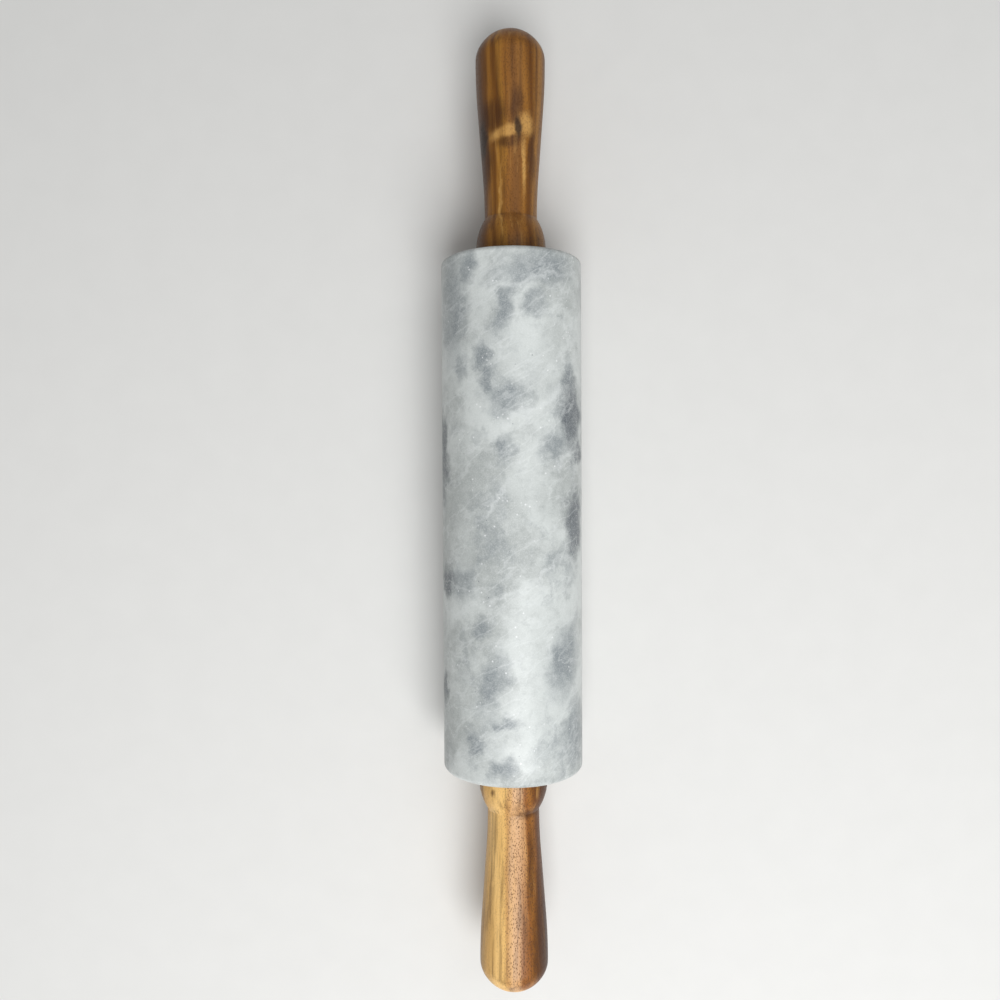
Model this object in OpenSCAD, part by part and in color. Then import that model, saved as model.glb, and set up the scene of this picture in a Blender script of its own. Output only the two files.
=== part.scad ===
// Marble rolling pin: a stone barrel that turns on a steel rod between two turned wooden handles.
// The pin lies along Y. The origin is the middle of the barrel, on its axis. +Y points to the far handle.
// All sizes are millimetres.

/* [Barrel] */
// Diameter of the marble barrel
barrel_d = 63.5; // [50:0.5:90]
// Length of the marble barrel, face to face
barrel_len = 230; // [120:1:320]
// Rounding of the rim at each end of the barrel
rim_r = 2.2; // [0.5:0.1:5]
// Diameter of the hole drilled through the barrel
barrel_bore_d = 14; // [12:0.5:18]

/* [Axle] */
// Diameter of the rod where the bushings run
rod_d = 10; // [9.2:0.1:11.5]
// Outside diameter of the rod's threaded ends
thread_d = 8; // [6:0.1:8.4]
// Length of thread that screws into each handle
thread_len = 27; // [20:1:30]
// Chamfer on the rod's ends and shoulders
rod_chamfer = 0.3; // [0.1:0.05:0.5]

/* [Bushings] */
// Outside diameter of the bushing's body and of the pocket that it is pressed into
bushing_d = 22; // [19:0.5:26]
// Length of the bushing's body inside the barrel
bushing_len = 18; // [10:1:30]
// Diameter of the flange that lies on the barrel's end face
flange_d = 29; // [27:0.5:31]
// Thickness of the flange
flange_t = 1.8; // [1:0.1:3]
// Radial running clearance between the rod and the bushing
running_gap = 0.05; // [0.02:0.01:0.1]
// Gap left between each bushing and its washer, so that the barrel turns freely
end_float = 0.3; // [0.2:0.05:0.6]

/* [Washers] */
// Outside diameter of the thrust washer
washer_d = 24; // [20:0.5:26]
// Thickness of the thrust washer
washer_t = 1.2; // [0.8:0.1:2]
// Radial clearance between the washer and the threaded end
washer_gap = 0.1; // [0.05:0.05:0.3]

/* [Thread inserts] */
// Outside diameter of the insert's body, between its barbs
insert_d = 12; // [11:0.25:13]
// Length of the insert, flange included
insert_len = 24; // [18:1:26]
// Diameter of the insert's flange, which lies flush with the handle's face
insert_flange_d = 17; // [15:0.5:20]
// Thickness of the insert's flange
insert_flange_t = 1.6; // [1:0.1:3]
// How far each barb stands out of the insert's body
barb_h = 0.5; // [0.2:0.1:1]
// Number of barbs that hold the insert in the wood
barb_count = 4; // [2:1:6]
// Radial clearance between the rod's thread and the insert
thread_gap = 0.05; // [0.03:0.01:0.15]
// Depth of the hole in the handle past the tip of the rod
hole_relief = 3; // [1:0.5:10]

/* [Handles] */
// Length of a handle
handle_len = 100.5; // [80:0.5:140]
// Diameter of the collar next to the barrel
collar_d = 31.6; // [30:0.2:38]
// Length of the collar, from its face to the narrowest part of the neck
collar_len = 16.5; // [12:0.5:24]
// Length of the straight band at the collar's widest part, with its rounded edge
collar_land = 2.5; // [1.5:0.1:4]
// Rounding of the collar's edge beside the barrel
collar_edge_r = 1; // [0.3:0.1:1.4]
// Radius of the tight groove between the collar and the neck
groove_r = 1.5; // [0.8:0.1:3]
// Diameter of the neck
neck_d = 23.7; // [20:0.1:28]
// Diameter of the grip's fullest part
grip_d = 31.4; // [30:0.2:40]
// Distance from the fullest part of the grip to the handle's end
dome_len = 13.5; // [12:0.5:15]
// Radius of the shoulder between the grip and the blunt nose
shoulder_r = 10.5; // [7:0.5:11]
// Share of the grip's swell that is curved, where 1 leaves no straight taper in it
swell_curved = 0.8; // [0.4:0.05:0.95]
// Share of the curved part that belongs to the hollow behind the neck
swell_hollow = 0.45; // [0.2:0.05:0.7]

/* [Hidden] */
$fn = 96;

// Distances along the pin, measured from the middle of the barrel.
barrel_face = barrel_len / 2;
rod_shoulder = barrel_face + flange_t + end_float;
handle_face = rod_shoulder + washer_t;
rod_tip = handle_face + thread_len;

// Radii.
barrel_r = barrel_d / 2;
rod_r = rod_d / 2;
thread_r = thread_d / 2;
bushing_r = bushing_d / 2;
insert_r = insert_d / 2;
collar_r = collar_d / 2;
neck_r = neck_d / 2;
grip_r = grip_d / 2;

// The collar's bell is an arc that leaves the straight band square and meets the groove's arc smoothly.
bell_drop = collar_r - neck_r;
bell_run = collar_len - collar_land;
bell_reach = (bell_drop ^ 2 + bell_run ^ 2) / (2 * bell_drop);
bell_r = bell_reach - groove_r;
bell_angle = atan2(bell_run, bell_reach - bell_drop);

// The grip swells from the neck to its fullest part: a hollow arc, a straight taper and a full arc,
// each meeting the next smoothly.
grip_at = handle_len - dome_len;
swell_rise = grip_r - neck_r;
swell_run = grip_at - collar_len;
swell_reach = swell_curved * (swell_rise ^ 2 + swell_run ^ 2) / (2 * swell_rise);
hollow_r = swell_reach * swell_hollow;
full_r = swell_reach - hollow_r;
swell_centres = norm([swell_reach - swell_rise, swell_run]);
taper_angle = atan2(swell_run, swell_reach - swell_rise) - acos(swell_reach / swell_centres);

// The end is a shoulder arc that runs into a nose arc centred on the axis.
shoulder_x = grip_r - shoulder_r;
nose_r = (shoulder_x ^ 2 + dome_len ^ 2 - shoulder_r ^ 2) / (2 * (dome_len - shoulder_r));
nose_at = handle_len - nose_r;
shoulder_angle = atan2(grip_at - nose_at, shoulder_x);

// The hole in the handle, measured from the handle's face.
hole_depth = thread_len + hole_relief;
hole_r = thread_r + thread_gap;
barb_pitch = (insert_len - insert_flange_t) / (barb_count + 1);

// How far a cut reaches past the face that it opens.
cut_over = 1;

// Points along an arc, as [radius from the pin's axis, distance along it].
arc_steps = 12;
function arc(centre, radius, from, to) = [
    for (i = [0 : arc_steps])
        let (angle = from + (to - from) * i / arc_steps)
            centre + radius * [cos(angle), sin(angle)]
];

// Turns a half outline, drawn as [radius, distance along the axis], into a solid along +Y.
module turned() {
    rotate([-90, 0, 0])
        rotate_extrude()
            children();
}

// Moves a piece that starts at the origin and points along +Y out to the far end of the pin.
module at_far(distance) {
    translate([0, distance, 0])
        children();
}

// The same at the near end, pointing along -Y.
module at_near(distance) {
    rotate([0, 0, 180])
        at_far(distance)
            children();
}

// A rectangle of a half outline that reaches as far to each side of the middle.
module centred(radius, length) {
    translate([0, -length / 2])
        square([radius, length]);
}

// Draws what belongs to one end at the other end too.
module both_ends() {
    children();
    mirror([0, 1])
        children();
}

module marble_barrel() {
    color("gainsboro")
        turned()
            difference() {
                union() {
                    centred(barrel_r, barrel_len - 2 * rim_r);
                    centred(barrel_r - rim_r, barrel_len);
                    both_ends()
                        translate([barrel_r - rim_r, barrel_face - rim_r])
                            intersection() {
                                circle(rim_r);
                                square(rim_r);
                            }
                }
                centred(barrel_bore_d / 2, barrel_len + 2 * cut_over);
                both_ends()
                    translate([0, barrel_face - bushing_len])
                        square([bushing_r, bushing_len + cut_over]);
            }
}

// The running part reaches from shoulder to shoulder, and a thinner threaded end stands out of each.
module axle_rod() {
    far_end = [
        [rod_r, rod_shoulder - rod_chamfer],
        [rod_r - rod_chamfer, rod_shoulder],
        [thread_r, rod_shoulder],
        [thread_r, rod_tip - rod_chamfer],
        [thread_r - rod_chamfer, rod_tip],
        [0, rod_tip]
    ];
    near_end = [for (i = [len(far_end) - 1 : -1 : 0]) [far_end[i].x, -far_end[i].y]];
    color("silver")
        turned()
            polygon(concat(far_end, near_end));
}

// Starts at the pocket's floor, with the flange on the barrel's end face.
module bushing() {
    turned()
        difference() {
            union() {
                square([bushing_r, bushing_len]);
                translate([0, bushing_len])
                    square([flange_d / 2, flange_t]);
            }
            translate([0, -cut_over])
                square([rod_r + running_gap, bushing_len + flange_t + 2 * cut_over]);
        }
}

module near_bushing() {
    color("ivory")
        at_near(barrel_face - bushing_len)
            bushing();
}

module far_bushing() {
    color("ivory")
        at_far(barrel_face - bushing_len)
            bushing();
}

module thrust_washer() {
    turned()
        translate([thread_r + washer_gap, 0])
            square([washer_d / 2 - thread_r - washer_gap, washer_t]);
}

module near_thrust_washer() {
    color("lightsteelblue")
        at_near(rod_shoulder)
            thrust_washer();
}

module far_thrust_washer() {
    color("lightsteelblue")
        at_far(rod_shoulder)
            thrust_washer();
}

// The insert's outside: a flange, a plain body and a row of barbs that point back at the flange.
module insert_outline() {
    square([insert_r, insert_len]);
    square([insert_flange_d / 2, insert_flange_t]);
    for (i = [1 : barb_count])
        translate([0, insert_flange_t + barb_pitch * i])
            polygon([
                [0, -barb_pitch / 2],
                [insert_r + barb_h, -barb_pitch / 2],
                [insert_r, barb_pitch / 4],
                [0, barb_pitch / 4]
            ]);
}

module thread_insert() {
    turned()
        difference() {
            insert_outline();
            translate([0, -cut_over])
                square([hole_r, insert_len + 2 * cut_over]);
        }
}

module near_insert() {
    color("goldenrod")
        at_near(handle_face)
            thread_insert();
}

module far_insert() {
    color("goldenrod")
        at_far(handle_face)
            thread_insert();
}

// The handle's outline, from the collar's face to the nose. The straight taper is the line that joins
// the hollow's last point to the grip's first.
module handle_outline() {
    polygon(concat(
        [[0, 0]],
        arc([collar_r - collar_edge_r, collar_edge_r], collar_edge_r, -90, 0),
        arc([collar_r - bell_r, collar_land], bell_r, 0, bell_angle),
        arc([neck_r + groove_r, collar_len], groove_r, 180 + bell_angle, 180),
        arc([neck_r + hollow_r, collar_len], hollow_r, 180, 180 - taper_angle),
        arc([grip_r - full_r, grip_at], full_r, -taper_angle, 0),
        arc([shoulder_x, grip_at], shoulder_r, 0, shoulder_angle),
        arc([0, nose_at], nose_r, shoulder_angle, 90)
    ));
}

module handle() {
    turned()
        difference() {
            handle_outline();
            insert_outline();
            square([hole_r, hole_depth]);
        }
}

module near_handle() {
    color("peru")
        at_near(handle_face)
            handle();
}

module far_handle() {
    color("peru")
        at_far(handle_face)
            handle();
}

marble_barrel();
axle_rod();
near_bushing();
far_bushing();
near_thrust_washer();
far_thrust_washer();
near_insert();
far_insert();
near_handle();
far_handle();
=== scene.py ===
# %% [markdown]
# # A marble rolling pin
#
# The pin is a stone barrel that turns on a hidden steel rod, with a turned wooden handle at each end.
# Everything here is in metres, in the frame of the packed model: the pin lies along Y, the origin is
# the middle of the barrel on its axis, and Z is up. The packed model brings the barrel, the bushings,
# the washers, the rod and the thread inserts with their true shapes. They could be modelled again, but
# a plain turned form would gain nothing from it, so they keep their meshes and only get finishes. The
# two handles are modelled here, on the same outline, as smooth turned wood.

# %% Load the packed model
import math

import bmesh
import bpy
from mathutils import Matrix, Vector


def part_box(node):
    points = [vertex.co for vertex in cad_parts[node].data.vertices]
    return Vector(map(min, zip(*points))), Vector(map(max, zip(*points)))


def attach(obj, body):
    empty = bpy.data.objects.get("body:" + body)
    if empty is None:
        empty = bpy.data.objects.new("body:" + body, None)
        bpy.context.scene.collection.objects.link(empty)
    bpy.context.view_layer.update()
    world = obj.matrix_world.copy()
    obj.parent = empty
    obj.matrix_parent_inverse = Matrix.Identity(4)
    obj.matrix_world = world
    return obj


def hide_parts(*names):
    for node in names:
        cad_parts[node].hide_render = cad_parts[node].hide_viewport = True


MM = 0.001

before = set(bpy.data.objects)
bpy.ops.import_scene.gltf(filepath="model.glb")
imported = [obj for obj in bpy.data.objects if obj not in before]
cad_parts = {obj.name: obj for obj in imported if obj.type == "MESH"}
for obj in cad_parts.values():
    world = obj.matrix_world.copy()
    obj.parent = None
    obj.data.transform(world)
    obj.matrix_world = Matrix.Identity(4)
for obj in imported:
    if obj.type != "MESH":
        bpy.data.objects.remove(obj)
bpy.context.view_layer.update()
print("pieces from the packed model:", sorted(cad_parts))

# %% [markdown]
# ## The camera
#
# The photograph was taken by hand from almost straight above, close enough that the barrel's rims hide
# the first millimetre or two of each collar. A camera could be set by eye and moved until the picture
# looks right, but a wide lens near the pin and a long lens far from it then look much alike. So the lens
# and the place were worked out from the barrel, whose outline is that of a cylinder: the camera is
# 0.39 m above the axis, a little beyond the middle, and tilted by a little more than a degree. The
# focal length is in pixels of the photograph, and the sensor's width turns it into millimetres.

# %% Set the camera
IMAGE_WIDTH_PX = 1000
FOCAL_LENGTH_PX = 850.2
SENSOR_WIDTH_MM = 36.0
CAMERA_AT = (-8.7 * MM, 16.5 * MM, 389.6 * MM)
CAMERA_TILT = (-0.0237, -0.0082, -0.0049)
NEAREST_SEEN = 10 * MM

camera_data = bpy.data.cameras.new("photo_camera")
camera_data.sensor_width = SENSOR_WIDTH_MM
camera_data.lens = FOCAL_LENGTH_PX * SENSOR_WIDTH_MM / IMAGE_WIDTH_PX
camera_data.clip_start = NEAREST_SEEN
camera = bpy.data.objects.new("photo_camera", camera_data)
camera.location = CAMERA_AT
camera.rotation_euler = CAMERA_TILT
bpy.context.collection.objects.link(camera)
bpy.context.scene.camera = camera
print("lens:", round(camera_data.lens, 2), "mm")

# %% [markdown]
# ## Shader maths as plain expressions
#
# A finish is a graph of nodes. It could be wired one node and one link at a time, but then a sum of
# three masks takes a dozen lines, and nobody can read it. So an output socket is wrapped in a small
# class that overloads the operators: writing `mask * 0.5 + 0.2` adds the two Math nodes, and so does
# `1 - mask`. Colours never go through these, because a Math node would turn them grey. Every other node
# comes from one method, which sets the node's settings first and then its sockets.


# %% Wrap a socket
class Value:
    """Something that changes over a surface. Each sum on it adds a Math node."""

    def __init__(self, finish, socket):
        self.finish = finish
        self.socket = socket

    def maths(self, operation, *others):
        """A Math node numbers its inputs from 0, and this value goes into the first."""
        inputs = dict(enumerate((self, *others)))
        return self.finish.node("ShaderNodeMath", {"operation": operation}, inputs)

    def __add__(self, other):
        return self.maths("ADD", other)

    def __sub__(self, other):
        return self.maths("SUBTRACT", other)

    def __rsub__(self, other):
        return self * -1.0 + other

    def __mul__(self, other):
        return self.maths("MULTIPLY", other)

    __radd__ = __add__
    __rmul__ = __mul__


print("a value understands +, - and *, on either side")


# %% Build a finish
def set_stops(ramp, stops):
    """Gives a colour ramp its stops, which are (position from 0 to 1, colour), from low to high."""
    ramp.interpolation = "EASE"
    while len(ramp.elements) < len(stops):
        ramp.elements.new(1.0)
    for element, (position, colour) in zip(ramp.elements, stops):
        element.position = position
        element.color = (*colour, 1.0)


class Finish:
    """One material, the Principled shader in it, and the place in space that its patterns read."""

    def __init__(self, name, **fixed):
        self.material = bpy.data.materials.new(name)
        self.material.use_nodes = True
        self.tree = self.material.node_tree
        self.shader = self.tree.nodes["Principled BSDF"]
        self.place = self.node("ShaderNodeTexCoord", {}, {}, "Object")
        self.surface(**fixed)

    def plug(self, socket, value):
        if isinstance(value, Value):
            self.tree.links.new(value.socket, socket)
        elif socket.type == "RGBA":
            socket.default_value = (*value, 1.0)
        else:
            socket.default_value = value

    def node(self, kind, settings, sockets, output=0):
        made = self.tree.nodes.new(kind)
        for setting, choice in settings.items():
            if setting == "stops":
                set_stops(made.color_ramp, choice)
            else:
                setattr(made, setting, choice)
        for name, value in sockets.items():
            self.plug(made.inputs[name], value)
        return Value(self, made.outputs[output])

    def surface(self, **values):
        """Sets or links sockets of the shader, with _ for each space in a socket's name."""
        for name, value in values.items():
            self.plug(self.shader.inputs[name.replace("_", " ")], value)


print("a finish has", [name for name in vars(Finish) if not name.startswith("_")])

# %% [markdown]
# ## Words for patterns
#
# Both the stone and the wood need the same few things: a soft random pattern, round spots, a mask that
# fades in between two levels, and one colour laid over another through a mask. Each of them is one or
# two nodes, so each gets a short function with a plain name. A pattern's size is given as how many of
# its lumps fit in a metre, because that is how Blender's texture nodes scale on a model in metres.

# %% Name the patterns
# A Mix node lists the sockets for numbers, vectors and colours in one row. These are the colour ones.
MIX_FACTOR, MIX_FIRST, MIX_SECOND, MIX_RESULT = 0, 6, 7, 2


def tint(red, green, blue):
    """A colour as a screen shows it, 0 to 255 each, turned into the light values that Blender uses."""
    return tuple(((c / 255 + 0.055) / 1.055) ** 2.4 for c in (red, green, blue))


def mix(mask, first, second):
    return mask.finish.node("ShaderNodeMix", {"data_type": "RGBA"},
                            {MIX_FACTOR: mask, MIX_FIRST: first, MIX_SECOND: second}, MIX_RESULT)


def fade(value, start, end, low=0.0, high=1.0):
    """Goes smoothly from low, where value is start, to high, where value is end."""
    return value.finish.node("ShaderNodeMapRange", {"interpolation_type": "SMOOTHSTEP"},
                             {"Value": value, "From Min": start, "From Max": end,
                              "To Min": low, "To Max": high})


def noise(where, per_metre, detail=3.0, roughness=0.5):
    inputs = {"Vector": where, "Scale": per_metre, "Detail": detail, "Roughness": roughness}
    return where.finish.node("ShaderNodeTexNoise", {}, inputs, "Fac")


def spots(where, per_metre):
    """How far each place is from the nearest of many scattered points, as a share of their spacing."""
    return where.finish.node("ShaderNodeTexVoronoi", {}, {"Vector": where, "Scale": per_metre}, "Distance")


print("patterns: noise and spots, put together by fade and mix")


# %% Name the ways to move and stretch a pattern
def scaled(where, scale, offset=(0.0, 0.0, 0.0)):
    """A pattern read here looks longer along an axis whose scale is under 1."""
    return where.finish.node("ShaderNodeMapping", {}, {"Vector": where, "Location": offset, "Scale": scale})


def turned(where, degrees):
    """The same place, turned about Z."""
    return where.finish.node("ShaderNodeMapping", {},
                             {"Vector": where, "Rotation": (0.0, 0.0, math.radians(degrees))})


def pushed_about(where, per_metre, reach):
    """The same place, moved by up to half of reach each way, so that straight edges wander."""
    finish = where.finish
    push = finish.node("ShaderNodeTexNoise", {},
                       {"Vector": where, "Scale": per_metre, "Detail": 4.0, "Roughness": 0.6}, "Color")
    centred = finish.node("ShaderNodeVectorMath", {"operation": "SUBTRACT"}, {0: push, 1: (0.5, 0.5, 0.5)})
    step = finish.node("ShaderNodeVectorMath", {"operation": "SCALE"}, {0: centred, "Scale": reach})
    return finish.node("ShaderNodeVectorMath", {"operation": "ADD"}, {0: where, 1: step})


def along_axis(where, axis):
    return where.finish.node("ShaderNodeSeparateXYZ", {}, {"Vector": where}, axis)


print("places: scaled, turned, pushed about, and read along one axis")


# %% Name the ways to mark one spot
def near(where, centre, reach, soft, slope):
    """1 inside an ellipsoid and 0 outside it. Sizes are in mm, and slope in degrees turns it about Z."""
    local = where.finish.node("ShaderNodeMapping", {"vector_type": "TEXTURE"},
                              {"Vector": where, "Location": tuple(c * MM for c in centre),
                               "Rotation": (0.0, 0.0, math.radians(slope)),
                               "Scale": tuple(r * MM for r in reach)})
    away = where.finish.node("ShaderNodeVectorMath", {"operation": "LENGTH"}, {0: local}, "Value")
    return fade(away, 1.0 + soft, 1.0 - soft)


def stronger(first, second):
    return first.maths("MAXIMUM", second)


def near_any(where, patches, soft):
    """The strongest of several patches, each given as its centre, its reach and its slope."""
    marks = [near(where, centre, reach, soft, slope) for centre, reach, slope in patches]
    strongest = marks[0]
    for mark in marks[1:]:
        strongest = stronger(strongest, mark)
    return strongest


def bump(height, depth, strength):
    return height.finish.node("ShaderNodeBump", {},
                              {"Height": height, "Distance": depth, "Strength": strength}, "Normal")


print("marks: near one centre, or near any of several")

# %% [markdown]
# ## Honed marble
#
# The barrel is a pale grey-white stone with soft grey clouds, a few nearly charcoal patches at its
# sides, milky diagonal veins and fine crystals that catch the light. Its pattern could be painted on or
# wrapped round, but marble is the same all the way through, so it is a solid pattern that is read at
# each point in space, and it shows no seam. Noise alone never puts a cloud where this stone has one. So
# the clouds that are seen from above are ellipsoids, placed on the barrel's upper side, and the
# space that they are read in is pushed about until their edges wander. Noise fills in the rest, and
# all of the underside.
# The charcoal patches at the sides are partly stone and partly painted shadow, and the dark patches of the
# underside are painted shade, so the stone is darker towards the bottom.

# %% Place the clouds
MILKY = tint(204, 209, 207)
PALE = tint(170, 175, 173)
GREY = tint(134, 141, 144)
CHARCOAL = tint(78, 85, 92)

# Each mark is x, y, half its width, half its length and its slope, in mm and degrees, seen from above.
WHITES = [(6, 72, 17, 13, 10), (12, 49, 20, 4, 27), (6, 21, 8, 13, -10), (11, -47, 16, 5, 27),
          (2, -83, 15, 10, 0), (22, -82, 9, 7, 20), (-15, 94, 4, 14, 0), (-2, -100, 16, 5, 0)]
GREYS = [(14, 106, 20, 7, 8), (-4, 89, 4, 9, -20), (9, 90, 5, 5, -30), (-26, 92, 7, 22, 0),
         (-20, 107, 4, 6, 0), (-14, 67, 3, 6, 0), (-10, 59, 3.5, 5, 20), (-3, 51, 9, 6, 0),
         (-4, 30, 3.5, 6, -15), (17, 31, 5.5, 6, 0), (-23, 66, 3, 6, 0), (24, 61, 3, 6, 0),
         (-22, -28, 6, 7, 0), (-13, -48, 3, 4.5, 0), (-10, -70, 6, 12, -20), (-17, -97, 3.5, 4.5, -20),
         (-5, -106, 6, 4, 20), (-4, -86, 4, 3, 0), (22, -62, 8, 14, -15), (27, -95, 5, 14, 0)]
# These charcoal marks lie close to the sides and are partly stone, partly painted shadow.
CHARCOALS_AND_SIDE_SHADOW = [(26, 45, 6, 14, 0), (28, 28, 3.5, 5, 0), (27, -3, 6, 15, 0), (-31, 27, 3, 20, 0),
             (-30.5, -76, 2.5, 7, 0), (-29, -28, 4, 8, 0)]
VEINS = [(12, 102, 18, 1.0, 16), (22, 26, 8, 1.1, 45), (-3, -32, 9, 1.0, 38), (12, 49, 19, 1.3, 27),
         (-8, 6, 12, 0.9, 50), (14, -22, 11, 0.9, 35)]

barrel_low, barrel_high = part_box("marble_barrel")
BARREL_R_MM = barrel_high[2] / MM


def on_top(marks, depth):
    """Lifts marks to the barrel's surface and lets each reach this far into the stone."""
    return [((x, y, math.sqrt(BARREL_R_MM**2 - x**2)), (wide, long, depth), slope)
            for x, y, wide, long, slope in marks]


print("marks on the stone:", len(WHITES + GREYS + CHARCOALS_AND_SIDE_SHADOW + VEINS))


# %% Lay the clouds
def cloudy(where, height, drift):
    """The stone's colour with its clouds, and a mask of the charcoal patches, partly painted shadow along
    the sides and painted shade underneath.
    """
    wisps = noise(scaled(where, (1.0, 0.6, 1.0), (3.0, 1.0, 2.0)), 60.0, detail=6.0, roughness=0.62)
    colour = mix(fade(drift, 0.38, 0.64), PALE, MILKY)
    colour = mix(fade(wisps, 0.50, 0.72, high=0.7), colour, GREY)
    colour = mix(near_any(where, on_top(WHITES, depth=12.0), soft=0.7) * 0.75, colour, MILKY)
    clouds = near_any(where, on_top(GREYS, depth=10.0), soft=0.65)
    colour = mix(clouds * fade(wisps, 0.2, 0.6, low=0.6), colour, GREY)

    # Painted shade: dark patches only under the axis, so the stone is darker towards the bottom.
    underside = fade(height, 8.0 * MM, -8.0 * MM)
    shade_below = fade(noise(where, 24.0, detail=4.0), 0.54, 0.66) * underside
    darks_and_shadow = stronger(near_any(where, on_top(CHARCOALS_AND_SIDE_SHADOW, depth=9.0), soft=0.5), shade_below * 0.8)
    return mix(darks_and_shadow * 0.85, colour, CHARCOAL), darks_and_shadow


print("clouds on the stone, from the bottom layer up: milky, grey, then charcoal")

# %% [markdown]
# A vein is a crack that healed with white stone. Most are too faint to place, so they are the lines
# where a stretched noise crosses its middle value, which run on as real cracks do. Six clearer ones are
# placed with the clouds, as long and thin ellipsoids.


# %% Draw the veins
def veined(colour, place, where):
    diagonal = scaled(turned(place, -32), (0.35, 1.6, 1.0))
    off_middle = (noise(diagonal, 48.0, detail=4.0, roughness=0.55) - 0.5).maths("ABSOLUTE")
    faint = fade(off_middle, 0.022, 0.0, high=0.24)
    clear = near_any(where, on_top(VEINS, depth=14.0), soft=0.9) * 0.38
    return mix(stronger(faint, clear), colour, tint(224, 228, 228))


print("veins that are placed:", len(VEINS))

# %% [markdown]
# Up close, the stone is made of crystals. The larger ones are small bright spots, gathered in places by
# a slower noise, and their near white is partly paler crystal and partly a painted glint. The finish is
# honed: smooth but not mirror bright, duller where the stone is darker, with a few tiny pits that the bump
# sinks in and that are darkened in colour as painted shade.


# %% Make the marble
def honed_marble():
    stone = Finish("honed_marble", Specular_IOR_Level=0.4)
    where = pushed_about(stone.place, per_metre=95.0, reach=16 * MM)
    drift = noise(where, 38.0, detail=5.0, roughness=0.55)
    colour, darks_and_shadow = cloudy(where, along_axis(stone.place, "Z"), drift)
    colour = veined(colour, stone.place, where)

    mottle = noise(stone.place, 260.0, detail=6.0, roughness=0.7)
    colour = mix(fade(mottle, 0.42, 0.68, high=0.20), colour, tint(214, 218, 217))
    colour = mix(fade(mottle, 0.50, 0.30, high=0.18), colour, tint(128, 134, 138))
    grain = noise(stone.place, 1700.0, detail=2.0, roughness=0.6)
    colour = mix(fade(grain, 0.42, 0.72, high=0.22), colour, tint(232, 235, 236))
    crystals = fade(spots(stone.place, 330.0), 0.17, 0.08)
    glints = crystals * fade(noise(stone.place, 110.0, detail=1.0), 0.54, 0.60)
    # The glints are laid nearly white: partly paler crystal, partly a painted glint.
    colour = mix(glints * 0.6, colour, tint(246, 248, 249))
    pits = fade(spots(scaled(stone.place, (1.0, 1.0, 1.0), (0.3, 0.7, 0.1)), 150.0), 0.06, 0.02)
    # Painted shade: the pits are darkened in colour as well as sunk by the bump.
    colour = mix(pits * 0.6, colour, CHARCOAL)

    dull = fade(drift, 0.3, 0.7, low=0.44, high=0.36)
    stone.surface(Base_Color=colour, Roughness=dull + darks_and_shadow * 0.05 - glints * 0.2,
                  Normal=bump(grain * 0.12 + mottle * 0.2 - pits, depth=0.05 * MM, strength=0.5))
    return stone


def dress(node_name, finish):
    """Gives a piece of the packed model its finish. Its mesh stays as it is."""
    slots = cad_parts[node_name].data.materials
    slots.clear()
    slots.append(finish.material)


marble = honed_marble()
dress("marble_barrel", marble)
print("nodes in the marble:", len(marble.tree.nodes))

# %% [markdown]
# ## Oiled acacia
#
# Acacia is streaky: gold, orange and brown run side by side along the grain, with fine dark pores cut
# lengthwise. A picture of wood could be wrapped round a handle, but its streaks would bend with the
# shape. Here each colour is a growth layer that runs right through the timber, as in a real blank, and
# turning cuts through it. So the layers are a colour ramp across X that wanders a little along the
# length, and finer noise drawn out along Y adds the streaks inside them.
#
# Each handle is its own piece of timber. The far one is darker, with a knot about half way along it and
# a cream band through the knot. The near one is golden on the left, pinkish in the middle where most of
# its pores are, and dark brown down the right side. That pinkish middle is partly the wood and partly a
# painted highlight, the tone of the satin sheen along its top.

# %% Choose the timber for the far handle
# Layers are (x in mm, colour). Marks are a centre and a reach in mm, and a slope in degrees.
FAR_LAYERS = [(-16, tint(76, 44, 14)), (-12.5, tint(104, 64, 20)), (-9, tint(146, 98, 36)),
              (-6.6, tint(112, 70, 24)), (-4, tint(158, 110, 44)), (-1.5, tint(140, 92, 38)),
              (1.5, tint(122, 78, 30)), (5, tint(144, 96, 38)), (8, tint(108, 66, 22)),
              (11, tint(150, 104, 44)), (16, tint(108, 70, 28))]
FAR_KNOTS = [((3.2, 171, 14.5), (1.8, 4, 4), 0), ((-12.8, 168, 6), (2.8, 7.5, 5.5), 0)]
FAR_CREAM = [((-1.5, 169.5, 14), (11.5, 2.3, 6), 14), ((7, 173, 13), (2.8, 4.5, 5), 0),
             ((5.5, 155, 13), (0.9, 11, 5), 0), ((-4.5, 138, 13), (0.6, 14, 5), 0)]
FAR_SHADE = [((-8, 176.5, 11), (7.5, 7, 8), 0), ((2.2, 179, 14), (2.8, 8, 5), 0),
             ((-11.5, 157, 6), (3.4, 11, 8), 0), ((0, 165.5, 14), (6, 2.4, 5), 8),
             ((9, 160, 10), (1.6, 12, 6), 0)]
print("the far handle has", len(FAR_LAYERS), "layers and", len(FAR_KNOTS), "knots")

# %% Choose the timber for the near handle
# The pinkish stops at -0.5 and 2.6 mm are partly a painted highlight: the satin sheen along the top.
NEAR_LAYERS_AND_HIGHLIGHT = [(-16, tint(140, 102, 56)), (-13, tint(206, 162, 96)), (-8.5, tint(232, 190, 122)),
               (-5, tint(226, 182, 112)), (-3.2, tint(194, 148, 90)), (-0.5, tint(205, 161, 115)),
               (2.6, tint(198, 150, 102)), (5.4, tint(144, 90, 40)), (8, tint(152, 98, 40)),
               (11, tint(108, 64, 24)), (16, tint(72, 40, 14))]
NEAR_CREAM = [((-2, -217, 5), (8, 3.5, 12), 0)]
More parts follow.
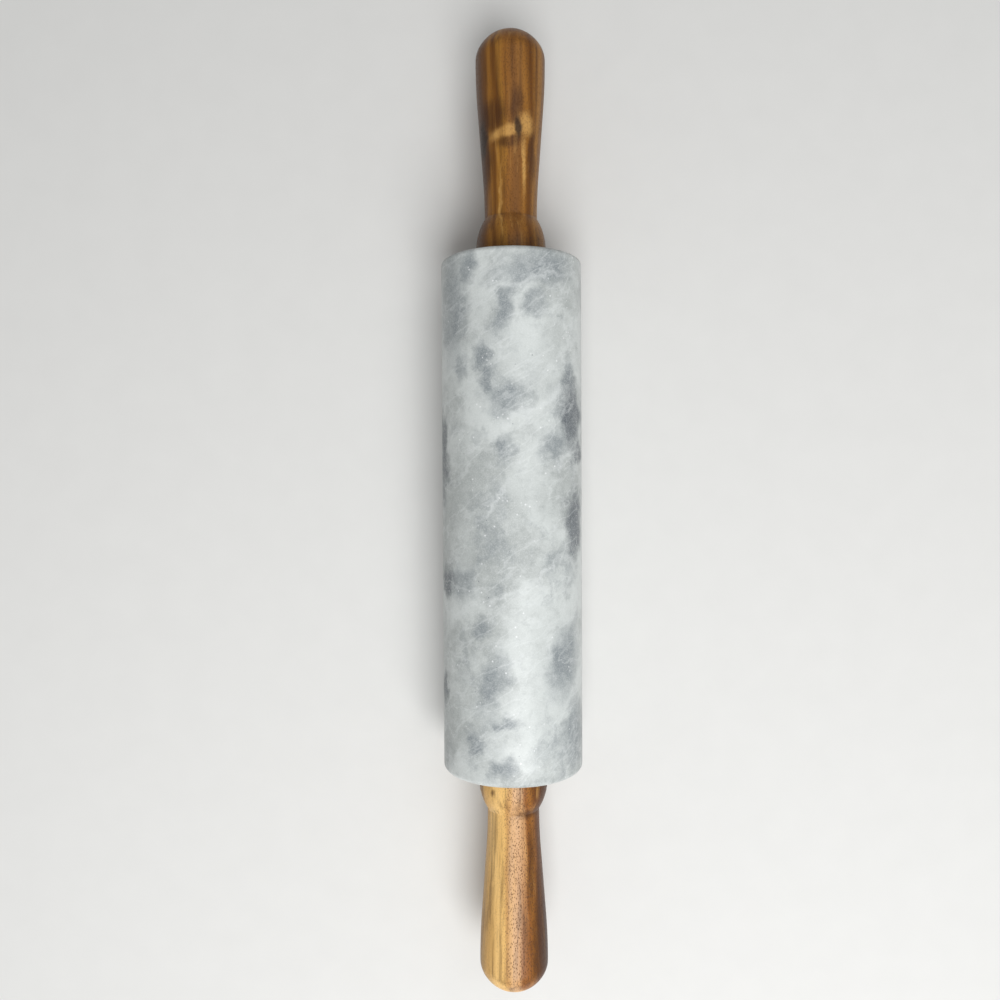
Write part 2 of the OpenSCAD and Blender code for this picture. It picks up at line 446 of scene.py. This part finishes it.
# The second near mark is painted shade where the collar meets the barrel, and the third is painted shade in
# the groove.
NEAR_SHADE = [((11.5, -190, 8), (3.5, 24, 12), 0), ((-9, -123.5, 11), (1.2, 1.6, 4), 0),
              ((7, -134, 9), (7, 2.2, 9), 0), ((7.5, -160, 10), (1.6, 18, 6), 0)]
print("the near handle has", len(NEAR_LAYERS_AND_HIGHLIGHT), "layers and no knot")

# %% Grow the layers
DEEP_BROWN = tint(64, 36, 16)
KNOT_BROWN = tint(38, 21, 10)
LAYERS_WANDER = 9 * MM
FEWEST_PORES_X = -6 * MM
ALL_PORES_X = -2 * MM


def layered(across, layers):
    """The colour of the growth layer at each distance across the timber. On the near handle the middle
    stops are partly a painted highlight.
    """
    low, high = layers[0][0], layers[-1][0]
    share = across.finish.node("ShaderNodeMapRange", {},
                               {"Value": across, "From Min": low * MM, "From Max": high * MM})
    stops = [((x - low) / (high - low), colour) for x, colour in layers]
    return across.finish.node("ShaderNodeValToRGB", {"stops": stops}, {0: share})


def dark_pores(place):
    """Short dark pores, gathered in patches."""
    pores = fade(spots(scaled(place, (1.0, 0.42, 1.0)), 1950.0), 0.42, 0.22)
    return pores * fade(noise(scaled(place, (1.0, 0.2, 1.0)), 240.0, detail=2.0), 0.24, 0.46)


print("the far handle's layers cross", FAR_LAYERS[-1][0] - FAR_LAYERS[0][0], "mm of timber")

# %% [markdown]
# A knot is where a branch grew. Its heart is nearly black, the wood round it is darker, and beside it
# the grain turns and looks cream. So three kinds of marks are laid over the streaks: shade, then cream,
# then the knots, and the streaks show through the first two. On the near handle, which has no knot, the
# shade marks are darker wood, and two of them are painted shade: in the groove, and where the collar
# meets the barrel. The real knot also dents the outline a little. That could be modelled too, but here
# it is only colour and bump, and the outline stays round.
# The oil leaves a soft satin that is duller in the pores, and the bump sinks those in as well.


# %% Make the acacia
def oiled_acacia(name, layers, shade, cream, knots, cream_colour, pore_strength, shift):
    """Shift reads the noise from somewhere else, so that no two handles share their streaks."""
    wood = Finish(name, Specular_IOR_Level=0.27)
    where = pushed_about(wood.place, per_metre=150.0, reach=4 * MM)
    across = along_axis(wood.place, "X")
    drift = noise(scaled(wood.place, (1.0, 0.12, 1.0), (shift, 0.0, shift)), 110.0)
    colour = layered(across + (drift - 0.5) * LAYERS_WANDER, layers)

    grain = (1.0, 0.03, 1.0)
    streak = noise(scaled(wood.place, grain, (shift, 0.0, 0.0)), 330.0, detail=4.0, roughness=0.6)
    hair = noise(scaled(wood.place, grain, (0.0, shift, shift)), 1500.0, detail=2.0, roughness=0.6)
    colour = mix(fade(streak, 0.50, 0.68, high=0.45), colour, DEEP_BROWN)
    colour = mix(fade(streak, 0.46, 0.28, high=0.30), colour, cream_colour)
    colour = mix(fade(hair, 0.48, 0.75, high=0.30), colour, DEEP_BROWN)

    # On the near handle these marks include painted shade in the groove and next to the barrel.
    shaded = near_any(where, shade, soft=0.6) * fade(streak, 0.3, 0.6, low=0.45, high=0.8)
    colour = mix(shaded, colour, DEEP_BROWN)
    creamy = near_any(where, cream, soft=0.6) * fade(streak, 0.65, 0.4, low=0.45, high=0.85)
    colour = mix(creamy, colour, cream_colour)
    pores = dark_pores(wood.place)
    height = streak * 0.25 + hair * 0.15 - pores
    if knots:
        scar = near_any(where, knots, soft=0.45)
        colour = mix(scar * 0.9, colour, KNOT_BROWN)
        height = height - scar * 2.0
    pores_show = fade(across, FEWEST_PORES_X, ALL_PORES_X, low=0.25)
    colour = mix(pores * pores_show * pore_strength, colour, DEEP_BROWN)
    wood.surface(Base_Color=colour, Roughness=fade(streak, 0.3, 0.7, low=0.42, high=0.36) + pores * 0.2,
                 Normal=bump(height, depth=0.06 * MM, strength=0.7))
    return wood


far_wood = oiled_acacia("acacia_far", FAR_LAYERS, FAR_SHADE, FAR_CREAM, FAR_KNOTS,
                        cream_colour=tint(196, 150, 84), pore_strength=0.40, shift=1.7)
near_wood = oiled_acacia("acacia_near", NEAR_LAYERS_AND_HIGHLIGHT, NEAR_SHADE, NEAR_CREAM, knots=[],
                         cream_colour=tint(232, 180, 104), pore_strength=0.72, shift=4.3)
print("nodes in the acacia:", len(far_wood.tree.nodes), "and", len(near_wood.tree.nodes))

# %% [markdown]
# ## Turning a handle
#
# A handle is a lathe job: a collar shaped like a bell, a tight groove, a neck that swells into the grip
# and a blunt round end. Its outline could be drawn once and spun round by a modifier. Here a ring of
# points is extruded from one station of the outline to the next and resized as it goes, the way that a
# turner follows a template. That takes only two plain steps, and it makes the hole for the insert, the
# face and the outside as one closed surface. The hole is plain and as wide as the insert's barbs, since
# nothing of it is seen once the insert is in. Where a handle starts and ends comes from the packed
# model, and the other sizes are the ones that it was drawn with.

# %% Size the handle
COLLAR_R = 15.8 * MM
COLLAR_LENGTH = 16.5 * MM
COLLAR_BAND = 2.5 * MM
EDGE_R = 1.0 * MM
GROOVE_R = 1.5 * MM
NECK_R = 11.85 * MM
GRIP_R = 15.7 * MM
SWELL_CURVED = 0.8
SWELL_HOLLOW = 0.45
SHOULDER_R = 10.5 * MM
DOME_LENGTH = 13.5 * MM
FLANGE_R = 8.5 * MM
FLANGE_DEPTH = 1.6 * MM
HOLE_R = 6.5 * MM
HOLE_DEPTH = 30.0 * MM
ARC_STEPS = 22
widths = [round(2 * radius / MM, 1) for radius in (COLLAR_R, NECK_R, GRIP_R)]
print("the collar, the neck and the grip are", widths, "mm thick")

# %% [markdown]
# The outline is seven arcs, each one starting in the direction that the last one ended in. Two of them
# make the collar: a small edge and the long bell. A tight hollow arc is the groove. The neck leaves the
# groove in a gentle hollow and swells into the grip in a fuller curve. The shoulder and the nose round
# off the end. Nothing is placed by hand, because the centres follow from the sizes above.


# %% Draw the outline
def arc(along, out, radius, start, end):
    """Stations, each (distance from the handle's face, radius), on an arc round a centre."""
    angles = [start + (end - start) * i / ARC_STEPS for i in range(ARC_STEPS + 1)]
    return [(along + radius * math.sin(a), out + radius * math.cos(a)) for a in angles]


def collar_outline():
    drop = COLLAR_R - NECK_R
    run = COLLAR_LENGTH - COLLAR_BAND
    bell_reach = (drop**2 + run**2) / (2 * drop)
    bell_r = bell_reach - GROOVE_R
    bell_turn = math.atan2(run, bell_reach - drop)
    edge = arc(EDGE_R, COLLAR_R - EDGE_R, EDGE_R, -math.pi / 2, 0)
    bell = arc(COLLAR_BAND, COLLAR_R - bell_r, bell_r, 0, bell_turn)
    groove = arc(COLLAR_LENGTH, NECK_R + GROOVE_R, GROOVE_R, math.pi + bell_turn, math.pi)
    return edge + bell + groove[1:]


def grip_outline(length):
    grip_at = length - DOME_LENGTH
    rise = GRIP_R - NECK_R
    run = grip_at - COLLAR_LENGTH
    reach = SWELL_CURVED * (rise**2 + run**2) / (2 * rise)
    hollow_r = reach * SWELL_HOLLOW
    full_r = reach - hollow_r
    taper = math.atan2(run, reach - rise) - math.acos(reach / math.hypot(reach - rise, run))
    shoulder_out = GRIP_R - SHOULDER_R
    nose_r = (shoulder_out**2 + DOME_LENGTH**2 - SHOULDER_R**2) / (2 * (DOME_LENGTH - SHOULDER_R))
    nose_at = length - nose_r
    shoulder_turn = math.atan2(grip_at - nose_at, shoulder_out)
    hollow = arc(COLLAR_LENGTH, NECK_R + hollow_r, hollow_r, math.pi, math.pi - taper)
    full = arc(grip_at, GRIP_R - full_r, full_r, -taper, 0)
    shoulder = arc(grip_at, shoulder_out, SHOULDER_R, 0, shoulder_turn)
    nose = arc(nose_at, 0.0, nose_r, shoulder_turn, math.pi / 2)
    return hollow[1:] + full + shoulder[1:] + nose[1:-1]


print("stations on the collar:", len(collar_outline()))

# %% [markdown]
# The ring starts at the bottom of the hole, filled, so that the hole is closed. Extruding only its rim
# keeps the mesh a single skin. Every resize is given its centre, a point on the axis, so that it doesn't
# depend on a pivot setting. At the tip the last ring is merged into one point.

# %% Start, draw out and close a ring
RING_POINTS = 144
SAME_POINT = 1e-7
SHARP_ANGLE = math.radians(40)


def start_ring(name, place, radius):
    """A filled ring round the Y axis, left in edit mode with only its rim selected."""
    bpy.ops.object.select_all(action="DESELECT")
    bpy.ops.mesh.primitive_circle_add(vertices=RING_POINTS, radius=radius, fill_type="NGON",
                                      location=(0.0, place, 0.0), rotation=(math.pi / 2, 0.0, 0.0))
    ring = bpy.context.object
    ring.name = name
    bpy.ops.object.transform_apply(location=True, rotation=True, scale=True)
    bpy.ops.object.mode_set(mode="EDIT")
    bpy.ops.mesh.select_mode(type="EDGE")
    bpy.ops.mesh.select_all(action="SELECT")
    bpy.ops.mesh.region_to_loop()
    return ring


def draw_out(step, place, times_wider):
    """Extrudes the rim by step, which brings it to place, and makes it wider or narrower there."""
    bpy.ops.mesh.extrude_edges_move(TRANSFORM_OT_translate={"value": (0.0, step, 0.0)})
    bpy.ops.transform.resize(value=(times_wider, 1.0, times_wider), center_override=(0.0, place, 0.0))


def close_tip(step):
    """Merges the last ring into the tip, leaves edit mode, and smooths all but the sharp edges."""
    bpy.ops.mesh.extrude_edges_move(TRANSFORM_OT_translate={"value": (0.0, step, 0.0)})
    bpy.ops.mesh.merge(type="CENTER")
    bpy.ops.mesh.select_all(action="SELECT")
    bpy.ops.mesh.remove_doubles(threshold=SAME_POINT)
    bpy.ops.mesh.normals_make_consistent(inside=False)
    bpy.ops.object.mode_set(mode="OBJECT")
    bpy.ops.object.shade_smooth_by_angle(angle=SHARP_ANGLE)


print("points on a ring:", RING_POINTS)


# %% Turn both handles
def turned_handle(name, cad_node, direction, finish):
    """Direction is 1 for the handle that points along +Y and -1 for the other."""
    low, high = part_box(cad_node)
    length = high[1] - low[1]
    face = low[1] if direction > 0 else high[1]
    stations = [(HOLE_DEPTH, HOLE_R), (FLANGE_DEPTH, HOLE_R), (FLANGE_DEPTH, FLANGE_R), (0.0, FLANGE_R)]
    stations += collar_outline() + grip_outline(length)

    along, radius = stations[0]
    handle = start_ring(name, face + direction * along, radius)
    for (before, old_radius), (after, new_radius) in zip(stations, stations[1:]):
        draw_out(direction * (after - before), face + direction * after, new_radius / old_radius)
    close_tip(direction * (length - stations[-1][0]))

    handle.data.materials.append(finish.material)
    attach(handle, "handles")
    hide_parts(cad_node)
    print(name, "is", round(length / MM, 1), "mm long")
    return handle


far_handle = turned_handle("far_turned_handle", "far_handle", 1, far_wood)
near_handle = turned_handle("near_turned_handle", "near_handle", -1, near_wood)

# %% [markdown]
# A mesh that was made one ring at a time is worth measuring. An open edge would be a hole in the skin,
# and a volume under 0 would mean that the faces point inwards.

# %% Measure the handles
CM = 10 * MM

for handle in (far_handle, near_handle):
    mesh = bmesh.new()
    mesh.from_mesh(handle.data)
    open_edges = sum(not edge.is_manifold for edge in mesh.edges)
    volume = mesh.calc_volume(signed=True) / CM**3
    mesh.free()
    print(handle.name, "holds", round(volume, 1), "cm3 of wood, and has", open_edges, "open edges")

# %% [markdown]
# ## The fittings inside
#
# Between a collar and the barrel there is a gap of about 3 mm, where the bushing's flange and the washer
# show from the side. Nylon is a slightly waxy off-white, the washers and the rod are turned steel, and
# the inserts are machined brass. Turned metal has fine rings round its axis. They could be cut into the
# mesh, but they are much finer than its triangles, so they are a noise that changes fast along the
# axis and hardly at all across it, and it feeds the bump and the roughness.


# %% Make the nylon
def waxy_nylon():
    nylon = Finish("waxy_nylon", Specular_IOR_Level=0.4)
    mottle = noise(nylon.place, 320.0)
    nylon.surface(Base_Color=mix(mottle, tint(218, 214, 202), tint(232, 229, 220)),
                  Roughness=fade(mottle, 0.3, 0.7, low=0.42, high=0.55),
                  Normal=bump(mottle, depth=0.02 * MM, strength=0.4))
    return nylon


nylon = waxy_nylon()
print("nodes in the nylon:", len(nylon.tree.nodes))


# %% Make the metals
def turned_metal(name, first, second, smoothest, dullest):
    metal = Finish(name, Metallic=1.0)
    rings = noise(scaled(metal.place, (0.05, 1.0, 0.05)), 6000.0, detail=2.0)
    smear = noise(metal.place, 180.0)
    metal.surface(Base_Color=mix(smear, first, second),
                  Roughness=fade(rings + smear, 0.7, 1.3, low=smoothest, high=dullest),
                  Normal=bump(rings, depth=0.01 * MM, strength=0.5))
    return metal


steel = turned_metal("turned_steel", tint(176, 178, 182), tint(200, 202, 205),
                     smoothest=0.24, dullest=0.38)
brass = turned_metal("machined_brass", tint(196, 160, 88), tint(216, 182, 108),
                     smoothest=0.22, dullest=0.36)
for end in ("near", "far"):
    dress(end + "_bushing", nylon)
    dress(end + "_thrust_washer", steel)
    dress(end + "_insert", brass)
dress("axle_rod", steel)
print("nodes in the metals:", len(steel.tree.nodes), "and", len(brass.tree.nodes))

# %% [markdown]
# ## Floor and light
#
# The setting is a plain pale sheet that the barrel rests on, so the floor is level with the barrel's
# lowest line. One large soft lamp hangs high beyond the near end and a little to the right, as a
# window's light would fall, and a weaker one fills from beyond the far end. More lamps would be
# brighter, but these two leave the left side in soft shade and keep the tones of the pale stone.

# %% Lay the floor
FLOOR_SIZE = 6.0

bpy.ops.object.select_all(action="DESELECT")
bpy.ops.mesh.primitive_plane_add(size=FLOOR_SIZE, location=(0.0, 0.0, barrel_low[2]))
floor = bpy.context.object
floor.name = "floor"
pale_sheet = Finish("pale_sheet", Roughness=0.9)
tooth = noise(pale_sheet.place, 60.0, detail=2.0)
pale_sheet.surface(Base_Color=mix(tooth, tint(216, 216, 214), tint(220, 220, 218)))
floor.data.materials.append(pale_sheet.material)
print("the floor lies", round(-barrel_low[2] / MM, 2), "mm under the axis")


# %% Hang the lamps
def soft_lamp(name, place, size, watts):
    """A square lamp that is turned to face the middle of the pin."""
    lamp_data = bpy.data.lights.new(name, "AREA")
    lamp_data.shape = "SQUARE"
    lamp_data.size = size
    lamp_data.energy = watts
    lamp = bpy.data.objects.new(name, lamp_data)
    lamp.location = place
    lamp.rotation_euler = (-lamp.location).to_track_quat("-Z", "Y").to_euler()
    bpy.context.collection.objects.link(lamp)
    print(name, "hangs", round(lamp.location.length, 2), "m away")


soft_lamp("window_lamp", (0.16, -0.62, 1.0), size=0.8, watts=14.5)
soft_lamp("fill_lamp", (0.45, 0.55, 1.2), size=0.9, watts=2.5)

# %% [markdown]
# The sky does two jobs. It lights the shadows from all round, which has to be weak, and it is what shows
# past the floor in a view from the side, which has to be white. The Light Path node tells a ray that
# comes straight from the camera from one that bounced, so one strength can be given to each. The view
# transform is Standard, because the default one would grey the stone and the wood.

# %% Light the sky
SKY_LIGHT = 0.27
SKY_SEEN = 1.0
WHITE = (1.0, 1.0, 1.0, 1.0)

scene = bpy.context.scene
scene.view_settings.view_transform = "Standard"
if scene.world is None:
    scene.world = bpy.data.worlds.new("studio")
scene.world.use_nodes = True
sky = scene.world.node_tree
background = sky.nodes["Background"]
background.inputs["Color"].default_value = WHITE
ray = sky.nodes.new("ShaderNodeLightPath")
strength = sky.nodes.new("ShaderNodeMapRange")
strength.inputs["To Min"].default_value = SKY_LIGHT
strength.inputs["To Max"].default_value = SKY_SEEN
sky.links.new(ray.outputs["Is Camera Ray"], strength.inputs["Value"])
sky.links.new(strength.outputs["Result"], background.inputs["Strength"])
print("the sky lights with", SKY_LIGHT, "and is seen with", SKY_SEEN)

# %% [markdown]
